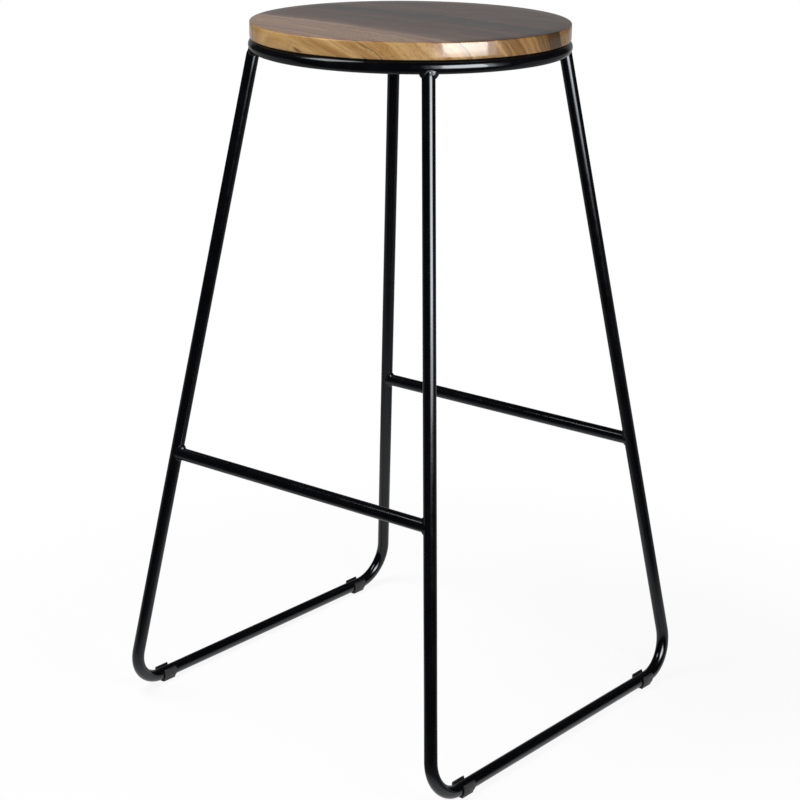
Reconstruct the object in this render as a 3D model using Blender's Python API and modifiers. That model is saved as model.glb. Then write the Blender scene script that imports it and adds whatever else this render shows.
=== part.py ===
"""Bar stool: a round wooden seat on a welded frame of round steel bar, with two footrests.

Units are metres and +Z is up. The origin is on the floor, at the centre of the base.
The floor runners lie along Y and the footrests along X. The front of the stool is -Y.
"""

import math

import bmesh
import bpy
from mathutils import Matrix, Vector

# Seat
TOTAL_HEIGHT = 0.760
SEAT_RADIUS = 0.169
SEAT_THICKNESS = 0.017
SEAT_EDGE_RADIUS = 0.0012
SEAT_SEGMENTS = 72
SEAT_EDGE_STEPS = 2

# Frame of round bar: two U-shaped side frames, a ring under the seat and two footrests
BAR_RADIUS = 0.0069
RING_RADIUS = 0.1636
SEAT_TO_RING = 0.0007
RUNNER_X = 0.2169
CORNER_Y = 0.2246
BEND_RADIUS = 0.040
BEND_STEPS = 10
FOOTREST_HEIGHT = 0.2889
BAR_BEVEL_RESOLUTION = 8
RING_SEGMENTS = 64
RING_SIDES = 16

# Gap between pieces that touch, and how far a cutter runs past what it cuts
FIT_GAP = 0.0003
OVERRUN = 0.020
CUTTER_SIDES = 24

# Weld beads round each bar end
WELD_POINTS = 20
WELD_BEVEL_RESOLUTION = 2
WELD_OFFSET = 0.0009
WELD_RADIUS_FLUSH = 0.0013
WELD_RADIUS_NOTCH = 0.0022

# Floor glides, clipped on the runners beside the bends
GLIDE_Y = 0.170
GLIDE_LENGTH = 0.0185
GLIDE_BASE = 0.0014
GLIDE_FOOT_HALF_WIDTH = 0.0060
GLIDE_FOOT_THICKNESS = 0.0008
GLIDE_WAIST_HALF_WIDTH = 0.0055
GLIDE_WALL_HALF_WIDTH = 0.0085
GLIDE_WALL_BOTTOM = -0.0025
GLIDE_WALL_TOP = 0.0056
GLIDE_LIP_HALF_WIDTH = 0.0079
GLIDE_LIP_TOP = 0.0066
GLIDE_LEAD_IN_HALF_WIDTH = 0.0069
GLIDE_MOUTH_ANGLE = math.radians(35)
GLIDE_ARC_STEPS = 14

# Seat tabs, welded inside the ring, and the screws and washers that hold the seat to them
TAB_LENGTH = 0.026
TAB_WIDTH = 0.024
TAB_THICKNESS = 0.003
TAB_CORNER_RADIUS = 0.006
TAB_CORNER_STEPS = 5
TAB_HOLE_RADIUS = 0.0026
TAB_TO_RING_CENTRE = 0.0060
HOLE_SIDES = 20
WASHER_RADIUS = 0.0055
WASHER_THICKNESS = 0.001
SCREW_LENGTH = 0.016
SCREW_RADIUS = 0.002
SCREW_TIP_LENGTH = 0.004
SCREW_HEAD_RADIUS = 0.004
SCREW_HEAD_HEIGHT = 0.0026
SCREW_SEGMENTS = 20
PILOT_CLEARANCE = 0.0005

# Heights and places that follow
SEAT_UNDERSIDE = TOTAL_HEIGHT - SEAT_THICKNESS
RING_Z = SEAT_UNDERSIDE - SEAT_TO_RING - BAR_RADIUS
RUNNER_Z = GLIDE_BASE + BAR_RADIUS
LEG_TOP_XY = RING_RADIUS / math.sqrt(2)
TAB_TOP = SEAT_UNDERSIDE - FIT_GAP
WASHER_TOP = TAB_TOP - TAB_THICKNESS - FIT_GAP
SCREW_SEAT_Z = WASHER_TOP - WASHER_THICKNESS - FIT_GAP
TAB_OUTER_RADIUS = math.sqrt((RING_RADIUS - TAB_TO_RING_CENTRE) ** 2 - (TAB_WIDTH / 2) ** 2)
TAB_HOLE_AT = TAB_OUTER_RADIUS - TAB_LENGTH * 0.55
SMOOTH_ANGLE = math.radians(40)

SIDES = {"left": -1, "right": 1}
ENDS = {"front": -1, "rear": 1}
TAB_TURNS = {"right": 0.0, "rear": math.pi / 2, "left": math.pi, "front": -math.pi / 2}

# Base colour, roughness and metallic value of each material
WOOD = ((0.47, 0.29, 0.13), 0.25, 0.0)
BLACK_STEEL = ((0.008, 0.009, 0.011), 0.22, 0.0)
BLACK_PLASTIC = ((0.02, 0.02, 0.022), 0.6, 0.0)
ZINC = ((0.62, 0.60, 0.55), 0.35, 1.0)


def clear_scene():
    for obj in list(bpy.data.objects):
        bpy.data.objects.remove(obj, do_unlink=True)


def new_collection(name):
    collection = bpy.data.collections.new(name)
    bpy.context.scene.collection.children.link(collection)
    return collection


def make_material(name, look):
    colour, roughness, metallic = look
    material = bpy.data.materials.new(name)
    material.use_nodes = True
    shader = material.node_tree.nodes["Principled BSDF"]
    shader.inputs["Base Color"].default_value = (*colour, 1.0)
    shader.inputs["Roughness"].default_value = roughness
    shader.inputs["Metallic"].default_value = metallic
    return material


def add_part(name, mesh, look):
    """Put a mesh in the stool's collection as a smooth-shaded part with its own material."""
    part = bpy.data.objects.new(name, mesh)
    mesh.name = name
    mesh.shade_smooth()
    mesh.set_sharp_from_angle(angle=SMOOTH_ANGLE)
    mesh.materials.clear()
    mesh.materials.append(make_material(name, look))
    PARTS.objects.link(part)
    return part


def add_cutter(name, mesh):
    cutter = bpy.data.objects.new(name, mesh)
    cutter.hide_render = True
    cutter.display_type = "WIRE"
    CUTTERS.objects.link(cutter)
    return cutter


def cut(part, *cutters):
    for cutter in cutters:
        boolean = part.modifiers.new(cutter.name, "BOOLEAN")
        boolean.operation = "DIFFERENCE"
        boolean.solver = "EXACT"
        boolean.object = cutter


def welded_mesh(source):
    """Turn a curve or modified object into a closed mesh in world space, and remove it."""
    bpy.context.view_layer.update()
    evaluated = source.evaluated_get(bpy.context.evaluated_depsgraph_get())
    mesh = bpy.data.meshes.new_from_object(evaluated)
    mesh.transform(source.matrix_world)
    work = bmesh.new()
    work.from_mesh(mesh)
    bmesh.ops.remove_doubles(work, verts=work.verts, dist=1e-6)
    bmesh.ops.recalc_face_normals(work, faces=work.faces)
    work.to_mesh(mesh)
    work.free()
    bpy.data.objects.remove(source, do_unlink=True)
    return mesh


def bar_mesh(points, radius, bevel_resolution, closed=False, scales=None):
    """Round bar along a line of points. The scales change its radius from point to point."""
    curve = bpy.data.curves.new("bar", "CURVE")
    curve.dimensions = "3D"
    curve.bevel_depth = radius
    curve.bevel_resolution = bevel_resolution
    curve.use_fill_caps = not closed
    spline = curve.splines.new("POLY")
    spline.points.add(len(points) - 1)
    spline.use_cyclic_u = closed
    for index, point in enumerate(points):
        spline.points[index].co = (*point, 1.0)
        spline.points[index].radius = scales[index] if scales else 1.0
    source = bpy.data.objects.new("bar", curve)
    PARTS.objects.link(source)
    return welded_mesh(source)


def plate_mesh(outlines, thickness, placement):
    """Flat plate from closed outlines in its local XY plane, centred on that plane."""
    curve = bpy.data.curves.new("plate", "CURVE")
    curve.dimensions = "2D"
    curve.fill_mode = "BOTH"
    curve.extrude = thickness / 2
    for outline in outlines:
        spline = curve.splines.new("POLY")
        spline.points.add(len(outline) - 1)
        spline.use_cyclic_u = True
        for index, (x, y) in enumerate(outline):
            spline.points[index].co = (x, y, 0.0, 1.0)
    source = bpy.data.objects.new("plate", curve)
    source.matrix_world = placement
    PARTS.objects.link(source)
    return welded_mesh(source)


def turned_mesh(profile, segments, placement):
    """Solid of revolution about its local Z axis from a profile of (radius, height), top first."""
    mesh = bpy.data.meshes.new("turned")
    work = bmesh.new()
    corners = [work.verts.new((radius, 0.0, height)) for radius, height in profile]
    for upper, lower in zip(corners, corners[1:]):
        work.edges.new((upper, lower))
    work.to_mesh(mesh)
    work.free()
    source = bpy.data.objects.new("turned", mesh)
    screw = source.modifiers.new("turn", "SCREW")
    screw.axis = "Z"
    screw.steps = segments
    screw.render_steps = segments
    screw.use_merge_vertices = True
    screw.merge_threshold = 1e-5
    source.matrix_world = placement
    PARTS.objects.link(source)
    return welded_mesh(source)


def cylinder_mesh(start, end, radius):
    axis = end - start
    mesh = bpy.data.meshes.new("cylinder")
    work = bmesh.new()
    turn = axis.to_track_quat("Z", "Y").to_matrix().to_4x4()
    bmesh.ops.create_cone(
        work, cap_ends=True, segments=CUTTER_SIDES, radius1=radius, radius2=radius,
        depth=axis.length, matrix=Matrix.Translation((start + end) / 2) @ turn)
    work.to_mesh(mesh)
    work.free()
    return mesh


def torus_mesh(minor_radius):
    bpy.ops.mesh.primitive_torus_add(
        location=(0.0, 0.0, RING_Z), major_radius=RING_RADIUS, minor_radius=minor_radius,
        major_segments=RING_SEGMENTS, minor_segments=RING_SIDES)
    return welded_mesh(bpy.context.object)


def arc(centre_x, centre_y, radius, start_angle, end_angle, steps):
    """Points of an arc in a plane, both ends included."""
    points = []
    for step in range(steps + 1):
        angle = start_angle + (end_angle - start_angle) * step / steps
        points.append((centre_x + radius * math.cos(angle), centre_y + radius * math.sin(angle)))
    return points


def circle(centre_x, radius):
    return arc(centre_x, 0.0, radius, 0.0, 2 * math.pi, HOLE_SIDES)[:-1]


def rounded_corner(corner, before, after):
    """Arc of the bend radius that rounds a corner, from the side of before to that of after."""
    to_before = (before - corner).normalized()
    to_after = (after - corner).normalized()
    half_angle = to_before.angle(to_after) / 2
    centre = corner + (to_before + to_after).normalized() * (BEND_RADIUS / math.sin(half_angle))
    tangent_length = BEND_RADIUS / math.tan(half_angle)
    start = corner + to_before * tangent_length - centre
    end = corner + to_after * tangent_length - centre
    turn_axis = start.cross(end).normalized()
    turn = start.angle(end)
    return [
        centre + Matrix.Rotation(turn * step / BEND_STEPS, 3, turn_axis) @ start
        for step in range(BEND_STEPS + 1)]


def frame_corner(side, end):
    """Where the centre lines of a leg and its runner would cross if the bend were sharp."""
    return Vector((side * RUNNER_X, end * CORNER_Y, RUNNER_Z))


def leg_top(side, end):
    return Vector((side * LEG_TOP_XY, end * LEG_TOP_XY, RING_Z))


def leg_point(side, end, height):
    fraction = (height - RUNNER_Z) / (RING_Z - RUNNER_Z)
    return frame_corner(side, end).lerp(leg_top(side, end), fraction)


def side_frame_path(side):
    front_top, rear_top = leg_top(side, -1), leg_top(side, 1)
    front_corner, rear_corner = frame_corner(side, -1), frame_corner(side, 1)
    front_bend = rounded_corner(front_corner, front_top, rear_corner)
    rear_bend = rounded_corner(rear_corner, front_corner, rear_top)
    return [front_top] + front_bend + rear_bend + [rear_top]


def weld_mesh(joint, bar_direction, host_direction):
    """Closed bead along the seam where a bar's end meets the side of a bar of the same radius.

    The joint is where the two centre lines cross, and bar_direction points into it. The bead
    is fat in the notches at the two sides and thin where the bars are flush.
    """
    first = bar_direction.cross(host_direction).normalized()
    second = bar_direction.cross(first)
    bar_across = bar_direction - host_direction * bar_direction.dot(host_direction)
    points, scales = [], []
    for index in range(WELD_POINTS):
        angle = 2 * math.pi * index / WELD_POINTS
        bar_normal = first * math.cos(angle) + second * math.sin(angle)
        spoke = bar_normal * BAR_RADIUS
        spoke_across = spoke - host_direction * spoke.dot(host_direction)
        a = bar_across.length_squared
        b = spoke_across.dot(bar_across)
        c = spoke_across.length_squared - BAR_RADIUS ** 2
        back = (b + math.sqrt(max(b * b - a * c, 0.0))) / a
        seam = joint + spoke - bar_direction * back
        host_normal = (spoke_across - bar_across * back).normalized()
        flushness = bar_normal.dot(host_normal)
        points.append(seam + (bar_normal + host_normal) * (WELD_OFFSET / (1 + flushness)))
        notch = min(1.0, 1.0 - flushness)
        radius = WELD_RADIUS_FLUSH + (WELD_RADIUS_NOTCH - WELD_RADIUS_FLUSH) * notch
        scales.append(radius / WELD_RADIUS_NOTCH)
    return bar_mesh(points, WELD_RADIUS_NOTCH, WELD_BEVEL_RESOLUTION, True, scales)


def seat_profile():
    edge_top = arc(SEAT_RADIUS - SEAT_EDGE_RADIUS, TOTAL_HEIGHT - SEAT_EDGE_RADIUS,
                   SEAT_EDGE_RADIUS, math.pi / 2, 0.0, SEAT_EDGE_STEPS)
    edge_bottom = arc(SEAT_RADIUS - SEAT_EDGE_RADIUS, SEAT_UNDERSIDE + SEAT_EDGE_RADIUS,
                      SEAT_EDGE_RADIUS, 0.0, -math.pi / 2, SEAT_EDGE_STEPS)
    return [(0.0, TOTAL_HEIGHT)] + edge_top + edge_bottom + [(0.0, SEAT_UNDERSIDE)]


def screw_profile():
    """Pan-head wood screw, point up. Height 0 is the face of the head that meets the washer."""
    shoulder = SCREW_LENGTH - SCREW_TIP_LENGTH
    rim = SCREW_HEAD_HEIGHT * 0.45
    return [
        (0.0, SCREW_LENGTH), (SCREW_RADIUS, shoulder), (SCREW_RADIUS, 0.0),
        (SCREW_HEAD_RADIUS, 0.0), (SCREW_HEAD_RADIUS, -rim),
        (SCREW_HEAD_RADIUS * 0.82, -SCREW_HEAD_HEIGHT * 0.88),
        (SCREW_HEAD_RADIUS * 0.45, -SCREW_HEAD_HEIGHT), (0.0, -SCREW_HEAD_HEIGHT)]


def glide_outline():
    """Cross-section of a glide about the runner's centre line, open at the top."""
    bottom = -GLIDE_BASE - BAR_RADIUS
    foot_top = bottom + GLIDE_FOOT_THICKNESS
    right = [
        (GLIDE_FOOT_HALF_WIDTH, bottom), (GLIDE_FOOT_HALF_WIDTH, foot_top),
        (GLIDE_WAIST_HALF_WIDTH, foot_top), (GLIDE_WALL_HALF_WIDTH, GLIDE_WALL_BOTTOM),
        (GLIDE_WALL_HALF_WIDTH, GLIDE_WALL_TOP), (GLIDE_LIP_HALF_WIDTH, GLIDE_LIP_TOP),
        (GLIDE_LEAD_IN_HALF_WIDTH, GLIDE_LIP_TOP)]
    left = [(-x, height) for x, height in reversed(right)]
    bore = arc(0.0, 0.0, BAR_RADIUS + FIT_GAP, GLIDE_MOUTH_ANGLE,
               -math.pi - GLIDE_MOUTH_ANGLE, GLIDE_ARC_STEPS)
    return right + bore + left


def tab_outline():
    """Seat tab seen from above, with its welded end at the ring and its free end rounded."""
    inner = TAB_OUTER_RADIUS - TAB_LENGTH
    corner_x = inner + TAB_CORNER_RADIUS
    corner_y = TAB_WIDTH / 2 - TAB_CORNER_RADIUS
    rear = arc(corner_x, corner_y, TAB_CORNER_RADIUS, math.pi / 2, math.pi, TAB_CORNER_STEPS)
    front = arc(corner_x, -corner_y, TAB_CORNER_RADIUS, math.pi, 1.5 * math.pi, TAB_CORNER_STEPS)
    welded_end = [(TAB_OUTER_RADIUS, -TAB_WIDTH / 2), (TAB_OUTER_RADIUS, TAB_WIDTH / 2)]
    return rear + front + welded_end


def build_seat():
    """The seat disc, with a blind pilot hole under it for each screw."""
    seat = add_part("seat_top", turned_mesh(seat_profile(), SEAT_SEGMENTS, Matrix()), WOOD)
    depth = SCREW_SEAT_Z + SCREW_LENGTH + PILOT_CLEARANCE
    for place, turn in TAB_TURNS.items():
        spot = Matrix.Rotation(turn, 3, "Z") @ Vector((TAB_HOLE_AT, 0.0, 0.0))
        hole = cylinder_mesh(
            spot + Vector((0.0, 0.0, SEAT_UNDERSIDE - OVERRUN)), spot + Vector((0.0, 0.0, depth)),
            SCREW_RADIUS + PILOT_CLEARANCE)
        cut(seat, add_cutter("pilot_hole_" + place, hole))


def build_seat_fixings():
    """Four tabs inside the ring, each with a washer and a screw up into the seat."""
    for place, turn in TAB_TURNS.items():
        about_z = Matrix.Rotation(turn, 4, "Z")
        tab_place = Matrix.Translation((0.0, 0.0, TAB_TOP - TAB_THICKNESS / 2)) @ about_z
        tab = plate_mesh([tab_outline(), circle(TAB_HOLE_AT, TAB_HOLE_RADIUS)],
                         TAB_THICKNESS, tab_place)
        add_part("seat_tab_" + place, tab, BLACK_STEEL)
        hole_place = about_z @ Matrix.Translation((TAB_HOLE_AT, 0.0, 0.0))
        washer_place = Matrix.Translation((0.0, 0.0, WASHER_TOP - WASHER_THICKNESS / 2)) @ hole_place
        washer = plate_mesh([circle(0.0, WASHER_RADIUS), circle(0.0, TAB_HOLE_RADIUS)],
                            WASHER_THICKNESS, washer_place)
        add_part("screw_washer_" + place, washer, ZINC)
        screw_place = Matrix.Translation((0.0, 0.0, SCREW_SEAT_Z)) @ hole_place
        screw = turned_mesh(screw_profile(), SCREW_SEGMENTS, screw_place)
        add_part("seat_screw_" + place, screw, ZINC)


def build_frame():
    """Ring, side frames and footrests, each end coped to fit the bar it is welded to."""
    add_part("seat_ring", torus_mesh(BAR_RADIUS), BLACK_STEEL)
    ring_cutter = add_cutter("ring_cutter", torus_mesh(BAR_RADIUS + FIT_GAP))
    leg_cutters = {}
    for side_name, side in SIDES.items():
        path = side_frame_path(side)
        frame = add_part("side_frame_" + side_name,
                         bar_mesh(path, BAR_RADIUS, BAR_BEVEL_RESOLUTION), BLACK_STEEL)
        cut(frame, ring_cutter)
        for end_name, end in ENDS.items():
            base, top = frame_corner(side, end), leg_top(side, end)
            leg = (top - base).normalized()
            mesh = cylinder_mesh(base, top + leg * OVERRUN, BAR_RADIUS + FIT_GAP)
            cutter = add_cutter("leg_cutter_" + end_name + "_" + side_name, mesh)
            leg_cutters[side, end] = cutter
            tangent = Vector((-end, side, 0.0)).normalized()
            weld = add_part("weld_leg_" + end_name + "_" + side_name,
                            weld_mesh(top, leg, tangent), BLACK_STEEL)
            cut(weld, ring_cutter, cutter)
    build_footrests(leg_cutters)


def build_footrests(leg_cutters):
    for end_name, end in ENDS.items():
        left, right = (leg_point(side, end, FOOTREST_HEIGHT) for side in (-1, 1))
        mesh = bar_mesh([left, right], BAR_RADIUS, BAR_BEVEL_RESOLUTION)
        footrest = add_part("footrest_" + end_name, mesh, BLACK_STEEL)
        cut(footrest, leg_cutters[-1, end], leg_cutters[1, end])
        along = Vector((OVERRUN, 0.0, 0.0))
        bar_cutter = add_cutter("footrest_cutter_" + end_name,
                                cylinder_mesh(left - along, right + along, BAR_RADIUS + FIT_GAP))
        for side_name, side in SIDES.items():
            joint = leg_point(side, end, FOOTREST_HEIGHT)
            leg = (leg_top(side, end) - joint).normalized()
            weld = add_part("weld_footrest_" + end_name + "_" + side_name,
                            weld_mesh(joint, Vector((side, 0.0, 0.0)), leg), BLACK_STEEL)
            cut(weld, leg_cutters[side, end], bar_cutter)


def build_glides():
    for side_name, side in SIDES.items():
        for end_name, end in ENDS.items():
            centre = Vector((side * RUNNER_X, end * GLIDE_Y, RUNNER_Z))
            upright = Matrix.Rotation(math.pi / 2, 4, "X")
            mesh = plate_mesh([glide_outline()], GLIDE_LENGTH, Matrix.Translation(centre) @ upright)
            add_part("floor_glide_" + end_name + "_" + side_name, mesh, BLACK_PLASTIC)


clear_scene()
PARTS = new_collection("bar_stool")
CUTTERS = new_collection("cutters")
build_seat()
build_seat_fixings()
build_frame()
build_glides()
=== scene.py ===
"""Looks of the bar stool with footrest: figured lacquered wood on a gloss black steel frame.

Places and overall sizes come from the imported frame. The named values repeat the few sizes that
a node's box doesn't tell, such as bends and holes, and add what the frame leaves out, such as
bead shapes, softened edges, grain and gloss. Units are metres and degrees, +Z is up.
"""

import math
import random

import bmesh
import bpy
from mathutils import Matrix, Vector, noise


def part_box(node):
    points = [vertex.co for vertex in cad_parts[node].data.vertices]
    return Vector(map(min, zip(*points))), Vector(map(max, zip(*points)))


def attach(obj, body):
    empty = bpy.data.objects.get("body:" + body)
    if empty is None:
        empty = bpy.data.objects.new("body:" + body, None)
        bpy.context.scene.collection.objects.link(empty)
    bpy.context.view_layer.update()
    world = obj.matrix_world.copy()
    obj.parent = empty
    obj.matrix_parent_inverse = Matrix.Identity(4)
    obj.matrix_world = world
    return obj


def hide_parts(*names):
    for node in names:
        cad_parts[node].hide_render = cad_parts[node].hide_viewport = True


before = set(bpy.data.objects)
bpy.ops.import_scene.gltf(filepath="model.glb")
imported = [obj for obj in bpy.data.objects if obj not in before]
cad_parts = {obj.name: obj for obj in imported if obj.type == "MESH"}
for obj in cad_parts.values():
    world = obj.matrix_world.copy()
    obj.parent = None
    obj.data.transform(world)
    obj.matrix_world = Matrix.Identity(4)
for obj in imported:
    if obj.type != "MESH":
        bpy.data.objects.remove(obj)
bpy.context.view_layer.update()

SIDES = {"left": -1, "right": 1}
ENDS = {"front": -1, "rear": 1}
TAB_TURNS = {"right": 0.0, "rear": 90.0, "left": 180.0, "front": -90.0}

# Round bar of the frame
BEND_RADIUS = 0.040
BEND_STEPS = 28
BAR_SIDES = 48
STRAIGHT_STEP = 0.020
RING_SEGMENTS = 288

# Ends of the legs, dressed under the ring
TAPER = 0.0011
TAPER_START = 0.0110
TAPER_END = 0.0035
TAPER_STEPS = 10

# Weld fillets
SEAM_STEPS = 96
FILLET_STEPS = 7
LEG_FILLET = 0.0042
FOOTREST_FILLET = 0.0030
FILLET_FLUSH = 0.0005
FILLET_BULGE_FLUSH = -0.00005
FILLET_BULGE_NOTCH = 0.00035
FILLET_SINK = 0.0002
FILLET_ROOT = 0.0016
RIPPLE_PITCH = 0.0019
RIPPLE_DEPTH = 0.00013
RIPPLE_POWER = 0.6
WAVER_SCALE = 260
WAVER_SIZE = 0.22
WAVER_BULGE = 0.3
LOPSIDED = 0.16
FIRST_SEED = 11

# Cosines that tell when a fillet's foot on the host points the wrong way
SAME_WAY = 0.99
INWARD = -0.05

SHARP_ANGLE = math.radians(50)

# Floor glides
GLIDE_GAP = 0.0003
GLIDE_EDGE = 0.0004
CHAMFER_SHARE = 0.96
GLIDE_BORE_STEPS = 36
# The angle above the runner's middle where the clip stops
GLIDE_MOUTH = 35
GLIDE_SOLE_HALF_WIDTH = 0.0058
# Half width, and height above the sole
GLIDE_FOOT = (0.0060, 0.0006)
GLIDE_WAIST = (0.0056, 0.0010)
# Height about the runner's middle
GLIDE_WALL_BOTTOM = -0.0025
# How far in from the wall and down from the top, and how far in the lip ends
GLIDE_LIP_BEVEL = (0.0006, 0.0010)
GLIDE_LIP_IN = 0.0016
# How far in from the end, and how deep the softened edge is there, in shares of GLIDE_EDGE
EDGE_STEPS = ((0.0, 1.0), (0.4, 0.3), (1.0, 0.0))

# Seat tabs, washers and screws
TAB_CORNER_RADIUS = 0.006
TAB_CORNER_STEPS = 8
TAB_REACH = 0.0007
TAB_EDGE = 0.0005
PLATE_STEP = 0.0016
WASHER_EDGE = 0.0002
WASHER_SIDES = 48
HOLE_RADIUS = 0.0026
CROSS_HALF_WIDTH = 0.00042
CROSS_HALF_LENGTH = 0.0019
CROSS_DEPTH = 0.0013
CROSS_FLOOR_SHARE = 0.5
TINY = 1e-9
HEAD_HEIGHT = 0.0026
# Radius and height above the head's face, from the face round to the shank
HEAD_PROFILE = ((0.0022, 0.00006), (0.0029, 0.00025), (0.0035, 0.0007), (0.0039, 0.0013),
                (0.0040, 0.0018), (0.0040, 0.0024), (0.0038, 0.0026), (0.0021, 0.0026))
THREAD_PITCH = 0.0018
THREAD_STEPS = 6
THREAD_RADIUS = 0.0020
THREAD_CORE = 0.0013
THREAD_START = 0.0020
THREAD_HALF_WIDTH = 0.24
TIP_LENGTH = 0.0040
TIP_SHARE = 0.06
TIP_RADIUS = 0.00004
SHANK_LEVELS = (0.0002, 0.0017)

# Seat
SEAT_SEGMENTS = 288
SEAT_EDGE_RADIUS = 0.0011
SEAT_CROWN = 0.00012
SEAT_RIM_TURN = 8
SEAT_RIM_STEPS = 5
SEAT_WALL_LEVELS = (2 / 3, 1 / 3, 0.0, -1 / 3, -2 / 3)
SEAT_RINGS = (0.25, 0.5, 0.75, 0.9)


# ---------------------------------------------------------------- measures from the frame

def middle(node):
    low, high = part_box(node)
    return (low + high) / 2


def span(node):
    low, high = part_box(node)
    return high - low


BAR_RADIUS = span("seat_ring").z / 2
RING_RADIUS = span("seat_ring").x / 2 - BAR_RADIUS
RING_Z = middle("seat_ring").z
RUNNER_X = middle("floor_glide_front_right").x
RUNNER_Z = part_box("side_frame_right")[0].z + BAR_RADIUS
FOOTREST_Z = middle("footrest_front").z
FOOTREST_Y = -middle("footrest_front").y
LEG_TOP_XY = RING_RADIUS / math.sqrt(2)
LEG_SLOPE_Y = (FOOTREST_Y - LEG_TOP_XY) / (RING_Z - FOOTREST_Z)
CORNER_Y = LEG_TOP_XY + LEG_SLOPE_Y * (RING_Z - RUNNER_Z)


def leg_top(side, end):
    return Vector((side * LEG_TOP_XY, end * LEG_TOP_XY, RING_Z))


def frame_corner(side, end):
    return Vector((side * RUNNER_X, end * CORNER_Y, RUNNER_Z))


def leg_point(side, end, height):
    fraction = (height - RUNNER_Z) / (RING_Z - RUNNER_Z)
    return frame_corner(side, end).lerp(leg_top(side, end), fraction)


# ---------------------------------------------------------------- mesh helpers

def new_piece(name, work, material, slot, *replaced):
    """A smooth-shaded piece from a bmesh, which rides on the stool's one body and stands for
    the CAD nodes named last."""
    mesh = bpy.data.meshes.new(name)
    bmesh.ops.recalc_face_normals(work, faces=work.faces)
    work.to_mesh(mesh)
    work.free()
    mesh.shade_smooth()
    mesh.set_sharp_from_angle(angle=SHARP_ANGLE)
    piece = bpy.data.objects.new(name, mesh)
    bpy.context.scene.collection.objects.link(piece)
    mesh.materials.append(material)
    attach(piece, "root")
    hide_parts(*replaced)


def loft(work, rings, closed=True):
    """Joins rings of points, each a closed loop of the same count, into a skin."""
    grid = [[work.verts.new(point) for point in ring] for ring in rings]
    count = len(grid[0])
    pairs = list(zip(grid, grid[1:]))
    if closed:
        pairs.append((grid[-1], grid[0]))
    for before, after in pairs:
        for i in range(count):
            j = (i + 1) % count
            work.faces.new((before[i], before[j], after[j], after[i]))
    return grid


def fan(work, ring, place):
    """Closes a ring with triangles that meet in one place."""
    centre = work.verts.new(place)
    for i, corner in enumerate(ring):
        work.faces.new((corner, ring[(i + 1) % len(ring)], centre))


def cap(work, ring):
    fan(work, ring, sum((v.co for v in ring), Vector()) / len(ring))


def circle_round(centre, first, second, radius, sides=BAR_SIDES):
    return [
        centre + (first * math.cos(a) + second * math.sin(a)) * radius
        for a in (2 * math.pi * i / sides for i in range(sides))]


def bar(points, radii, plane_normal):
    """Round bar along a flat line of points, with a radius at each, capped at both ends."""
    work = bmesh.new()
    rings = []
    for i, point in enumerate(points):
        before = points[max(i - 1, 0)]
        after = points[min(i + 1, len(points) - 1)]
        along = (after - before).normalized()
        across = along.cross(plane_normal).normalized()
        rings.append(circle_round(point, across, plane_normal, radii[i]))
    grid = loft(work, rings, closed=False)
    cap(work, grid[0])
    cap(work, grid[-1])
    return work


def turned(profile, segments):
    """Solid of revolution about Z from a profile of (radius, height) that starts and ends on
    the axis."""
    work = bmesh.new()
    rings = []
    for radius, height in profile[1:-1]:
        rings.append([
            Vector((radius * math.cos(a), radius * math.sin(a), height))
            for a in (2 * math.pi * i / segments for i in range(segments))])
    grid = loft(work, rings, closed=False)
    fan(work, grid[0], (0.0, 0.0, profile[0][1]))
    fan(work, grid[-1], (0.0, 0.0, profile[-1][1]))
    return work


def straight(start, end, pace=STRAIGHT_STEP):
    """Places at even steps from start up to, but not at, end."""
    steps = max(1, round((end - start).length / pace))
    return [start.lerp(end, step / steps) for step in range(steps)]


def arc(centre_x, centre_y, radius, start, end, steps):
    """Places on a flat arc from one angle to another, both included."""
    points = []
    for step in range(steps + 1):
        angle = math.radians(start + (end - start) * step / steps)
        points.append((centre_x + radius * math.cos(angle), centre_y + radius * math.sin(angle)))
    return points


def rounded_corner(corner, before, after):
    """Places round the bend that takes a corner's place between two straight runs."""
    to_before = (before - corner).normalized()
    to_after = (after - corner).normalized()
    half_angle = to_before.angle(to_after) / 2
    centre = corner + (to_before + to_after).normalized() * (BEND_RADIUS / math.sin(half_angle))
    start = corner + to_before * (BEND_RADIUS / math.tan(half_angle)) - centre
    end = corner + to_after * (BEND_RADIUS / math.tan(half_angle)) - centre
    axis = start.cross(end).normalized()
    turn = start.angle(end)
    return [
        centre + Matrix.Rotation(turn * step / BEND_STEPS, 3, axis) @ start
        for step in range(BEND_STEPS + 1)]


# ---------------------------------------------------------------- material helpers

def new_material(name):
    material = bpy.data.materials.new(name)
    material.use_nodes = True
    tree = material.node_tree
    return material, tree, tree.nodes["Principled BSDF"]


def add(tree, kind, **inputs):
    """Adds a node. Inputs are set by name, from a value or from another node's output."""
    node = tree.nodes.new("ShaderNode" + kind)
    for name, value in inputs.items():
        fill(tree, node.inputs[name.replace("_", " ")], value)
    return node


def fill(tree, socket, value):
    if isinstance(value, bpy.types.NodeSocket):
        tree.links.new(value, socket)
    else:
        socket.default_value = value


def math_node(tree, operation, first, second=0.0):
    node = tree.nodes.new("ShaderNodeMath")
    node.operation = operation
    for socket, value in zip(node.inputs, (first, second)):
        fill(tree, socket, value)
    return node.outputs[0]


def remap(tree, value, low, high, to_low=0.0, to_high=1.0):
    node = add(tree, "MapRange", Value=value, From_Min=low, From_Max=high,
               To_Min=to_low, To_Max=to_high)
    node.interpolation_type = "SMOOTHSTEP"
    return node.outputs["Result"]


def mix_colour(tree, amount, first, second, blend="MIX"):
    node = tree.nodes.new("ShaderNodeMix")
    node.data_type = "RGBA"
    node.blend_type = blend
    sockets = [s for s in node.inputs if s.enabled]
    for socket, value in zip(sockets, (amount, first, second)):
        fill(tree, socket, value)
    return [s for s in node.outputs if s.enabled][0]


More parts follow.
